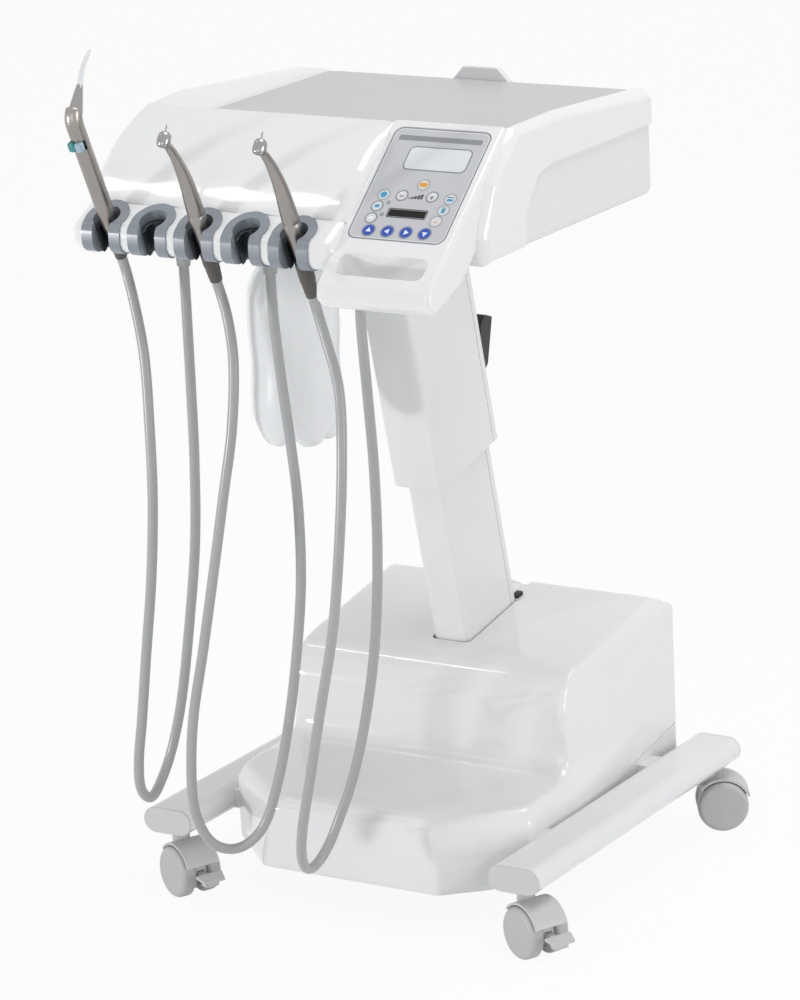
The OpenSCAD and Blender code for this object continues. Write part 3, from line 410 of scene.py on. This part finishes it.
# ---- Inside the base and the head --------------------------------------------
# Cast-iron ballast and power supply in the base, valve block and circuit board in
# the head. The covers hide them.
paint("ballast", surface("painted_cast_iron", "2A2A2B", "1E1E1F", 2.5, 0.2, 0.6))
paint("power_supply", surface("black_supply_case", "1A1A1B", "141415", 1.0, 0.05, 0.5))
paint("valve_block", surface("milled_aluminium", "BFC1C4", "B2B4B8", 0.6, 0.005, 0.3, Metallic=1.0))
paint("control_board", surface("green_solder_resist", "1E6B43", "175637", 4, 0.02, 0.35))


# ---- Casters -----------------------------------------------------------------
# Grey twin-wheel furniture casters: polypropylene hood, polyurethane-faced
# wheels, and a brake pedal on the front two.
# Moulded polypropylene has a waxy grey shine; the wheels' polyurethane is duller.
caster_plastic = surface("grey_caster_polypropylene", "CBCCCC", "C4C5C5", 0.8, 0.02, 0.36, 0.08)
wheel_plastic = surface("grey_polyurethane_wheel", "BFC0BF", "B7B8B7", 1.1, 0.02, 0.42, 0.08)
for corner in ("front_left", "front_right", "rear_left", "rear_right"):
    finished(corner + "_caster_hood", corner + "_hood", corner + "_caster", caster_plastic,
             0.5, 35)
    for wheel in "ab":
        finished("%s_roller_%s" % (corner, wheel), "%s_wheel_%s" % (corner, wheel),
                 "%s_wheel_%s_body" % (corner, wheel), wheel_plastic, 0, 30)
for side in ("left", "right"):
    finished(side + "_pedal_tread", side + "_brake_pedal", side + "_pedal", caster_plastic,
             0.5, 35)


# ---- Tray plate --------------------------------------------------------------
# A flat grey anti-slip plate that lies in the head's recess. Its fine grain makes it
# duller than the covers.
tray_plastic = surface("grey_anti_slip_sheet", "C8C8CB", "C2C2C5", 0.6, 0.02, 0.38, 0.08)
finished("tray_sheet", "tray_plate", "head", tray_plastic, 0.5, 35)


# ---- Control panel -----------------------------------------------------------
# A grey membrane sheet in a recess of the console, with a pale glass window, a dark
# number display, printed keys and a painted highlight inside its outlines.
# The printed film is satin, with flat inks under it; the windows in it are hard and
# clear and mirror the room.
membrane = surface("grey_membrane_film", "C6C8CC", "C1C3C7", 0.5, 0.006, 0.36, 0.06)
finished("membrane_sheet", "control_panel", "head", membrane, 0, 35)
console = (Matrix.Translation(placed(148, -287, 684)) @ Matrix.Rotation(math.radians(40), 4, "X")
           @ Matrix.Scale(0.001, 4))


def stamped(shape, x, y, w, h, foot, top, corner=0.0, sides=0, turn=0.0, line=0.0):
    """Adds a thin flat shape in mm: a rectangle, a disc with that many sides, or its outline only."""
    there = (Matrix.Translation((x, y, foot)) @ Matrix.Rotation(math.radians(turn), 4, "Z")
             @ Matrix.Diagonal((w, h, 1, 1)))
    if sides:
        spots = bmesh.ops.create_circle(shape, cap_ends=True, segments=sides, radius=0.5,
                                        matrix=there)["verts"]
    else:
        spots = bmesh.ops.create_grid(shape, x_segments=1, y_segments=1, size=0.5,
                                      matrix=there)["verts"]
    if corner:
        spots = bmesh.ops.bevel(shape, geom=spots, offset=corner, segments=5, profile=0.5,
                                affect="VERTICES", material=-1)["verts"]
    flat = list(dict.fromkeys(face for spot in spots for face in spot.link_faces))
    if line:
        rim = bmesh.ops.inset_region(shape, faces=flat, thickness=line, use_boundary=True,
                                     use_even_offset=True)["faces"]
        bmesh.ops.delete(shape, geom=flat, context="FACES")
        flat = rim
    raised = bmesh.ops.extrude_face_region(shape, geom=flat, use_keep_orig=True)["geom"]
    bmesh.ops.translate(shape, verts=[v for v in raised if isinstance(v, bmesh.types.BMVert)],
                        vec=(0, 0, top - foot))


def printed(name, finish, marks, stands_for=()):
    """One colour of the panel's print or of its painted highlight, its marks given in the console's own
    frame in mm.
    """
    shape = bmesh.new()
    for mark in marks:
        stamped(shape, *mark[0], **(mark[1] if len(mark) > 1 else {}))
    bmesh.ops.recalc_face_normals(shape, faces=shape.faces)
    bmesh.ops.transform(shape, matrix=console, verts=shape.verts)
    return made(name, shape, finish, "head", stands_for)


ink_grey = surface("grey_screen_print", "8D9095", "878A8F", 0.5, 0.004, 0.4)
ink_pale = surface("pale_screen_print", "DADCDF", "D5D7DA", 0.5, 0.004, 0.35)
# White ink for the printed arrows and signs; the same ink also draws the painted highlight lines.
white_ink_and_painted_highlight = surface("white_print_and_painted_highlight", "F0F1F2", "ECEDEE", 0.5, 0.004, 0.35)
ink_orange = surface("orange_screen_print", "EDA01C", "E89814", 0.5, 0.004, 0.35)
ink_blue = surface("blue_screen_print", "1550C8", "1049BC", 0.5, 0.004, 0.3)
ink_cyan = surface("cyan_screen_print", "2FA3D2", "289AC9", 0.5, 0.004, 0.3)
ink_dark = surface("dark_screen_print", "3E4247", "373B40", 0.5, 0.004, 0.4)
window_glass = surface("hard_coated_window", "DFE3E8", "DADFE4", 30, 0.001, 0.06, 0.02,
                       Specular_IOR_Level=0.6, Coat_Weight=0.6, Coat_Roughness=0.02)
display_glass = surface("smoked_display_window", "0E0707", "0A0505", 30, 0.001, 0.2, 0.02,
                        Specular_IOR_Level=0.25)
arrows = [(-29.5, 10.2, 0), (-10.7, 10.5, 90), (7.8, 10.8, -90), (26.5, 11, 180)]
grey_keys = [(-12.5, 49.7), (17.6, 50.6)]
pale_keys = [(36.1, 49.8), (-32.1, 36.6), (-32.7, 23.4), (34.3, 37.2), (32, 25), (3.7, 62.8),
             (-30.7, 49.3)]
round_key = {"sides": 32}
printed("window_pane", window_glass,
        [((6, 91, 61, 23.2, 0.1, 0.45), {"corner": 4.6})], ("panel_display",))
printed("number_display", display_glass,
        [((0.5, 30.75, 36.8, 7.3, 0.1, 0.5), {"corner": 0.6})], ("panel_display",))
printed("panel_lines", ink_grey,
        [((0, 62.25, 97.6, 123, 0.38, 0.56), {"corner": 8.4, "line": 1.1}),
         ((6, 91, 64, 26.2, 0.38, 0.56), {"corner": 6, "line": 1.2}),
         ((0, 112.6, 84, 5.4, 0.38, 0.5), {"corner": 1.2})]
        + [((x, y, 13.4, 13.4, 0.38, 0.58), {"sides": 32, "line": 1.3}) for x, y, _ in arrows]
        + [((x, y, 12.2, 12.2, 0.38, 0.58), {"sides": 32, "line": 1.3})
           for x, y in grey_keys + pale_keys[1:3]]
        + [((x, y, 12.2, 12.2, 0.38, 0.54), {"sides": 32, "line": 0.4}) for x, y in pale_keys])
# A painted highlight: thin white lines along the inner edge of the grey outlines of the panel and of its
# window.
printed("painted_highlight_lines", white_ink_and_painted_highlight,
        [((0, 62.25, 95.2, 120.6, 0.38, 0.52), {"corner": 7.4, "line": 0.7}),
         ((6, 91, 61.4, 23.6, 0.38, 0.56), {"corner": 4.8, "line": 0.5})])
printed("arrow_keys", ink_blue,
        [((x, y, 10.6, 10.6, 0.2, 0.68), round_key) for x, y, _ in arrows], ("panel_keys",))
printed("pale_keys", ink_pale,
        [((x, y, 9.6, 9.6, 0.2, 0.6), round_key) for x, y in grey_keys + pale_keys], ("panel_keys",))
printed("white_marks", white_ink_and_painted_highlight,
        [((x, y, 6.2, 6.2, 0.6, 0.74), {"sides": 3, "turn": turn}) for x, y, turn in arrows])
printed("orange_marks", ink_orange,
        [((3.7, 62.8, 7.6, 4.2, 0.5, 0.68), {"corner": 0.5}),
         ((32, 24.2, 4.4, 2.6, 0.5, 0.68), {"sides": 3})])
printed("cyan_marks", ink_cyan,
        [((-30.7, 49.3, 6.4, 6.4, 0.5, 0.7), {"sides": 28}),
         ((34.3, 36.8, 3.4, 4.6, 0.5, 0.68), {"corner": 0.4}),
         ((36.1, 48.6, 6.4, 2.6, 0.5, 0.66), {"corner": 1.1}),
         ((-32.1, 36.6, 4.6, 3.2, 0.5, 0.66), {"corner": 0.8})])
printed("dark_marks", ink_dark,
        [((-12.5, 49.0, 3.6, 0.9, 0.5, 0.68),), ((17.6, 49.6, 3.6, 0.9, 0.5, 0.68),),
         ((17.6, 49.6, 0.9, 3.6, 0.5, 0.69),), ((36.1, 51.6, 7, 0.7, 0.5, 0.68),),
         ((34.3, 40, 4.6, 0.6, 0.5, 0.68),),
         ((0.5, 30.75, 39.6, 10.1, 0.38, 0.52), {"corner": 1.4, "line": 0.9})]
        + [((-4.2 + 2.9 * k, 47.6 + 0.55 * k, 2.1, 0.9 + 1.1 * k, 0.38, 0.56),) for k in range(5)]
        + [((x, y, 3.4, 3.4, 0.38, 0.58), {"sides": 20, "line": 0.5})
           for x, y in ((-22.5, 41.1), (-23.7, 28.1))])
printed("white_signs", white_ink_and_painted_highlight,
        [((-32.7, 23.4, 4.6, 3.2, 0.5, 0.66), {"corner": 0.8}), ((-13.3, 52.4, 4, 1.2, 0.5, 0.66),),
         ((17.6, 53.4, 4, 1.2, 0.5, 0.66),)])


# ---- Instrument holders ------------------------------------------------------
# Five satin grey rings on the head's front edge, with soft black liners, open to the
# front for the hoses.
# Satin ABS with soft, broad highlights, beside silicone that takes up the light.
ring_plastic = surface("slate_grey_abs", "8B929B", "858C95", 4, 0.004, 0.24, 0.06,
                       Specular_IOR_Level=0.5)
liner_rubber = surface("black_silicone_liner", "20262B", "1A1F24", 1.2, 0.03, 0.45)
for i in range(1, 6):
    finished("ring_%d" % i, "holder_ring_%d" % i, "head", ring_plastic, 2.2, 35)
finished("ring_liners", "holder_liners", "head", liner_rubber, 0.8, 35)


# ---- Syringe -----------------------------------------------------------------
# Three-way syringe: a satin steel body that turns over in a round elbow, a polished
# cone, a frosted plastic tip and two square buttons.
# Bead blasting leaves a soft grey shine, polish a mirror. The real blasted grain is
# far finer: here it is drawn coarse enough to show.
satin_steel = surface("bead_blasted_steel", "A39E99", "99948F", 0.5, 0.006, 0.28, 0.08, Metallic=1.0)
mirror_steel = surface("polished_steel", "A3A1A0", "9B9998", 3, 0.001, 0.12, 0.03, Metallic=1.0)


holder_y, holder_z, holder_lean = -293.475, 679.898, 21


def holder_frame(x, tilt=0.0):
    """The place of a holder's axis, in mm, its Z up along the instrument."""
    return (Matrix.Translation(placed(x, holder_y, holder_z))
            @ Matrix.Rotation(math.radians(holder_lean + tilt), 4, "X") @ Matrix.Scale(0.001, 4))


def turned(shape, profile, place, steps=40):
    """Adds a solid of revolution about Z from radius and height pairs, in mm."""
    spots = [shape.verts.new((r, 0, z)) for r, z in profile]
    line = [shape.edges.new(pair) for pair in zip(spots, spots[1:])]
    before = set(shape.verts) - set(spots)
    bmesh.ops.spin(shape, geom=spots + line, cent=(0, 0, 0), axis=(0, 0, 1), angle=2 * math.pi,
                   steps=steps, use_merge=True)
    new = [v for v in shape.verts if v not in before]
    bmesh.ops.remove_doubles(shape, verts=new, dist=1e-4)
    bmesh.ops.transform(shape, matrix=place, verts=[v for v in shape.verts if v not in before])


def swept(shape, stations, place, sides=32):
    """Adds a round skin along a bending axis, from steps of length, lean and radius in mm."""
    y = z = 0.0
    last = None
    for i, (length, lean, radius) in enumerate(stations):
        if i:
            half = math.radians((lean + stations[i - 1][1]) / 2)
            y -= length * math.sin(half)
            z += length * math.cos(half)
        there = place @ Matrix.Translation((0, y, z)) @ Matrix.Rotation(math.radians(lean), 4, "X")
        ring = bmesh.ops.create_circle(shape, cap_ends=i in (0, len(stations) - 1), segments=sides,
                                       radius=radius, matrix=there)["verts"]
        edges = list(dict.fromkeys(edge for spot in ring for edge in spot.link_edges))
        if last:
            bmesh.ops.bridge_loops(shape, edges=last + edges)
        last = edges


def closed(shape):
    """Merges doubles and turns every face of a closed shape outwards."""
    bmesh.ops.remove_doubles(shape, verts=shape.verts, dist=1e-7)
    bmesh.ops.recalc_face_normals(shape, faces=shape.faces)
    return shape


syringe_x, syringe_tilt, nozzle_bend = -144.7, 2.8, -46.4
finished("syringe_grip", "syringe_body", "head", satin_steel, 0, 30)
elbow = bmesh.new()
swept(elbow, [(0, 0, 7.6), (2.0, -3, 8.02), (3.0, -8, 8.04), (3.0, -16, 8.0), (3.0, -26, 7.9),
              (2.6, -36, 7.7), (2.2, -44, 7.45), (1.6, nozzle_bend, 7.2), (0.8, nozzle_bend, 6.6)],
      holder_frame(syringe_x, syringe_tilt) @ Matrix.Translation((0, 0, 103.5)), 40)
made("syringe_elbow", closed(elbow), satin_steel, "head")
nozzle_frame = (holder_frame(syringe_x, syringe_tilt) @ Matrix.Translation((0, 0, 110))
                @ Matrix.Rotation(math.radians(nozzle_bend), 4, "X"))
cone = bmesh.new()
turned(cone, [(0, 7.6), (6.2, 7.6), (6.75, 8.2), (6.75, 9.4), (6.3, 9.7), (6.3, 10.1), (6.6, 10.4),
              (6.35, 12), (3.5, 32), (3.3, 32.6), (2.9, 32.9), (3.05, 33.3), (3.0, 35.4), (2.5, 36),
              (0, 36)],
       nozzle_frame @ Matrix.Scale(0.93, 4, (0, 0, 1)))
made("syringe_cone", closed(cone), mirror_steel, "head", ("syringe_nozzle",), 30)
tip = bmesh.new()
swept(tip, [(0, 0, 2.5), (4, 0, 2.45), (6, 0, 2.35), (5, -2, 2.3), (3, -8, 2.2), (3, -16, 2.15),
            (3, -22, 2.1), (5, -23, 1.9), (6, -23, 1.65), (0.4, -23, 1.3)],
      nozzle_frame @ Matrix.Translation((0, 0, 32)), 20)
frosted_plastic = surface("frosted_polycarbonate_tip", "E3E7E9", "DCE1E4", 3, 0.001, 0.16, 0.04,
                          Subsurface_Weight=0.3, Subsurface_Scale=0.003, Coat_Weight=0.4,
                          Coat_Roughness=0.05)
made("syringe_tip", closed(tip), frosted_plastic, "head", ("syringe_nozzle",), 30)
finished("air_key", "air_button", "air_push",
         surface("pale_blue_acrylic", "B9D3E2", "AECBDC", 2, 0.002, 0.12, 0.04, Transmission_Weight=0.25,
                 IOR=1.45), 1.3, 35)
finished("water_key", "water_button", "water_push",
         surface("teal_acrylic", "4FA3A5", "469A9C", 2, 0.002, 0.12, 0.04, Transmission_Weight=0.2,
                 IOR=1.45), 1.3, 35)


# ---- Handpieces --------------------------------------------------------------
# Two turbine handpieces of satin steel, swept in one smooth line up to a polished
# egg-shaped head with its press cap; a steel bur stands out of each.
grip_line = [(0, 0, 5.4), (0.6, 0, 6.6), (1.2, 0, 6.9), (2.4, 0, 6.9), (0.5, 0, 6.55),
             (0.9, 0, 6.55), (0.5, 0, 6.95), (7, 0, 7.45), (8, 0, 7.9), (8, 0, 8.1), (7, 0, 8.08),
             (4, 0, 8.0), (0.4, 0, 7.8), (0.8, 0, 7.8), (0.4, 0, 7.95), (8, 0.2, 7.7),
             (8, 0.6, 7.35), (7, 1.2, 7.05), (6, 2.5, 6.75), (6, 4.5, 6.4), (6, 7, 6.0),
             (6, 9.5, 5.55), (6, 11.5, 5.1), (6, 13.5, 4.7), (6, 16.5, 4.3), (6, 21, 3.95),
             (6, 25.5, 3.7), (6, 28.5, 3.5), (4, 29, 3.4)]
handpiece_x = (-46.1, 52.9)
for i, holder_x in zip("12", handpiece_x):
    grip = bmesh.new()
    swept(grip, grip_line, holder_frame(holder_x) @ Matrix.Translation((0, 0, -22)), 40)
    made("turbine_handpiece_" + i, closed(grip), satin_steel, "turbine_" + i,
         ("handpiece_" + i,), 50)
    head_frame = holder_frame(holder_x)
    for length, bend in ((62, 12), (30, 17), (14, -75)):
        head_frame = (head_frame @ Matrix.Translation((0, 0, length))
                      @ Matrix.Rotation(math.radians(bend), 4, "X"))
    egg = bmesh.new()
    turned(egg, [(0, -7), (3.4, -7), (4.3, -6.75), (5.0, -6.1), (5.0, -5.7), (5.45, -5.55),
                 (5.95, -4.6), (6.2, -3), (6.25, -1), (6.15, 1.2), (5.8, 3.4), (5.1, 5.3), (4.1, 6.6),
                 (2.8, 7.3), (1.2, 7.5), (1.2, 6), (0, 6)], head_frame, 48)
    made("turbine_head_" + i, closed(egg), mirror_steel, "turbine_" + i,
         ("handpiece_" + i,), 30)
    finished("cutting_bur_" + i, "bur_" + i, "bur_%s_body" % i, mirror_steel, 0, 30)


# ---- Hose ends ---------------------------------------------------------------
# Dark rubber strain reliefs on the instruments, each a nut and a ribbed taper, and
# the glands under the head.
# Moulded rubber: dark, with a weak broad highlight.
relief_rubber = surface("dark_grey_rubber", "57534F", "4E4A47", 1.5, 0.02, 0.42)
reliefs = bmesh.new()
for holder_x, foot in zip(handpiece_x, (-51, -58)):
    turned(reliefs, [(0, foot), (5.5, foot), (5.8, foot + 0.6), (6.0, foot + 5), (6.35, foot + 6),
                     (6.2, foot + 7), (6.5, foot + 11), (6.8, foot + 12), (6.6, foot + 13),
                     (6.8, foot + 16), (7.3, foot + 16.8), (7.45, -32), (7.5, -23.4),
                     (7.1, -22.3), (4.5, -22.3), (4.5, -10.4), (0, -10.4)],
           holder_frame(holder_x))
turned(reliefs, [(0, -36), (5.3, -36), (5.55, -35.4), (5.7, -30), (5.95, -29.4), (5.7, -28.8),
                 (5.8, -24), (6.0, -23.4), (5.8, -22.8), (5.8, -18.6), (5.4, -18.1), (0, -18.1)],
       holder_frame(syringe_x, syringe_tilt))
made("instrument_reliefs", closed(reliefs), relief_rubber, "head", ("hose_reliefs",), 30)
finished("head_glands", "hose_outlets", "head", silicone, 0.3, 35)


# ---- Water bottle ------------------------------------------------------------
# A blown bottle of milky polyethylene, screwed into its cap under the head. Its foot
# is blown into five feet, and its side draws in a little at the grip.
# Milky polyethylene scatters the light inside its wall, so its shading is soft.
bottle_plastic = surface("frosted_polyethylene_bottle", "EFF2F4", "E9EDEF", 3, 0.004, 0.25, 0.05,
                         Subsurface_Weight=0.35, Subsurface_Scale=0.02, IOR=1.45)
blown = bmesh.new()
side_line = [(0, 12), (6, 11), (12, 8.5), (18, 5.6), (24, 4.2), (29, 4.4), (33, 6.5), (36.5, 11),
             (39.3, 17), (41.2, 24), (42.2, 32), (42.5, 42), (42.2, 54), (41.4, 66), (40.9, 78),
             (41.4, 92), (42.2, 104), (42.5, 116), (42.5, 132), (42, 142), (40, 152), (36, 162),
             (30, 171), (22, 178), (15, 182.5), (13.4, 185), (13.4, 205), (0, 205)]
turned(blown, side_line, Matrix.Identity(4), 80)
feet, hub, foot_top, valley_depth = 5, 3, 30, 7
for spot in blown.verts:
    out = math.hypot(spot.co.x, spot.co.y)
    if out > hub and spot.co.z < foot_top:
        valley = (0.5 + 0.5 * math.cos(feet * math.atan2(spot.co.y, spot.co.x))) ** 2
        near = min(1.0, (out - hub) / 18) * min(1.0, (foot_top - spot.co.z) / 16)
        spot.co.z += valley_depth * valley * near
        spot.co.xy *= 1 - 0.07 * valley * near
bmesh.ops.transform(blown, matrix=Matrix.Translation(placed(-49, -150, 449)) @ Matrix.Scale(0.001, 4),
                    verts=blown.verts)
made("water_bottle_shell", closed(blown), bottle_plastic, "water_bottle",
     ("bottle",), 60)
finished("bottle_screw_cap", "bottle_cap", "head", cap_plastic, 0.5, 35)


# ---- Studio ------------------------------------------------------------------
# A pale floor, a white surround, four soft lamps and a row of small panes, which shine
# in the rolled edges of the base.
def soft_lamp(name, place, aim, size, power):
    """An area lamp at a place, turned to its aim."""
    lamp = bpy.data.objects.new(name, bpy.data.lights.new(name, "AREA"))
    lamp.data.size = size
    lamp.data.energy = power
    scene.collection.objects.link(lamp)
    lamp.location = place
    lamp.rotation_euler = (Vector(aim) - Vector(place)).to_track_quat("-Z", "Y").to_euler()


soft_lamp("key", (-2.0, -2.5, 0.35), (0, -0.1, 0.55), 0.3, 30)
soft_lamp("front", (0.5, -3.2, 0.7), (0, 0, 0.35), 1.6, 8)
soft_lamp("fill", (2.9, -0.5, 0.9), (0, 0, 0.45), 1.4, 21)
soft_lamp("overhead", (0.6, 0.2, 2.9), (0, -0.05, 0.3), 1.5, 25)
pane_gap = 0.112
for pane in range(6):
    soft_lamp("window_pane_%d" % pane, (-1.59 + pane_gap * pane, -0.84, 2.29), (0, -0.05, 0.2),
              0.085, 0.15)

world = bpy.data.worlds.new("studio")
scene.world = world
world.use_nodes = True
tree = world.node_tree
tree.nodes.clear()


def straight_sight(tree):
    """One where a ray from the camera arrives, straight, by a mirror or through glass."""
    path = add(tree, "ShaderNodeLightPath")
    total = path.outputs["Is Camera Ray"]
    for kind in ("Is Transmission Ray", "Is Glossy Ray"):
        larger = add(tree, "ShaderNodeMath", operation="MAXIMUM")
        tree.links.new(total, larger.inputs[0])
        tree.links.new(path.outputs[kind], larger.inputs[1])
        total = larger.outputs[0]
    return total


seen = straight_sight(tree)
ambient = add(tree, "ShaderNodeBackground", Color=(1, 1, 1, 1), Strength=0.46)
white = add(tree, "ShaderNodeBackground", Color=(1, 1, 1, 1), Strength=1.0)
both = add(tree, "ShaderNodeMixShader")
tree.links.new(seen, both.inputs[0])
tree.links.new(ambient.outputs[0], both.inputs[1])
tree.links.new(white.outputs[0], both.inputs[2])
out = add(tree, "ShaderNodeOutputWorld")
tree.links.new(both.outputs[0], out.inputs["Surface"])

floor = bpy.data.objects.new("floor", bpy.data.meshes.new("floor"))
scene.collection.objects.link(floor)
sheet = bmesh.new()
bmesh.ops.create_circle(sheet, cap_ends=True, segments=64, radius=9)
sheet.to_mesh(floor.data)
sheet.free()
ground = bpy.data.materials.new("white_studio_floor")
ground.use_nodes = True
tree = ground.node_tree
tree.nodes["Principled BSDF"].inputs["Base Color"].default_value = linear("F4F4F4")
tree.nodes["Principled BSDF"].inputs["Roughness"].default_value = 0.9
floor_glow = 0.93  # the rest keeps the object's shadow
seen = straight_sight(tree)
glow = add(tree, "ShaderNodeEmission", Color=(1, 1, 1, 1), Strength=1.0)
share = add(tree, "ShaderNodeMath", operation="MULTIPLY")
tree.links.new(seen, share.inputs[0])
share.inputs[1].default_value = floor_glow
veiled = add(tree, "ShaderNodeMixShader")
tree.links.new(share.outputs[0], veiled.inputs[0])
tree.links.new(tree.nodes["Principled BSDF"].outputs[0], veiled.inputs[1])
tree.links.new(glow.outputs[0], veiled.inputs[2])
tree.links.new(veiled.outputs[0], tree.nodes["Material Output"].inputs["Surface"])
floor.data.materials.append(ground)
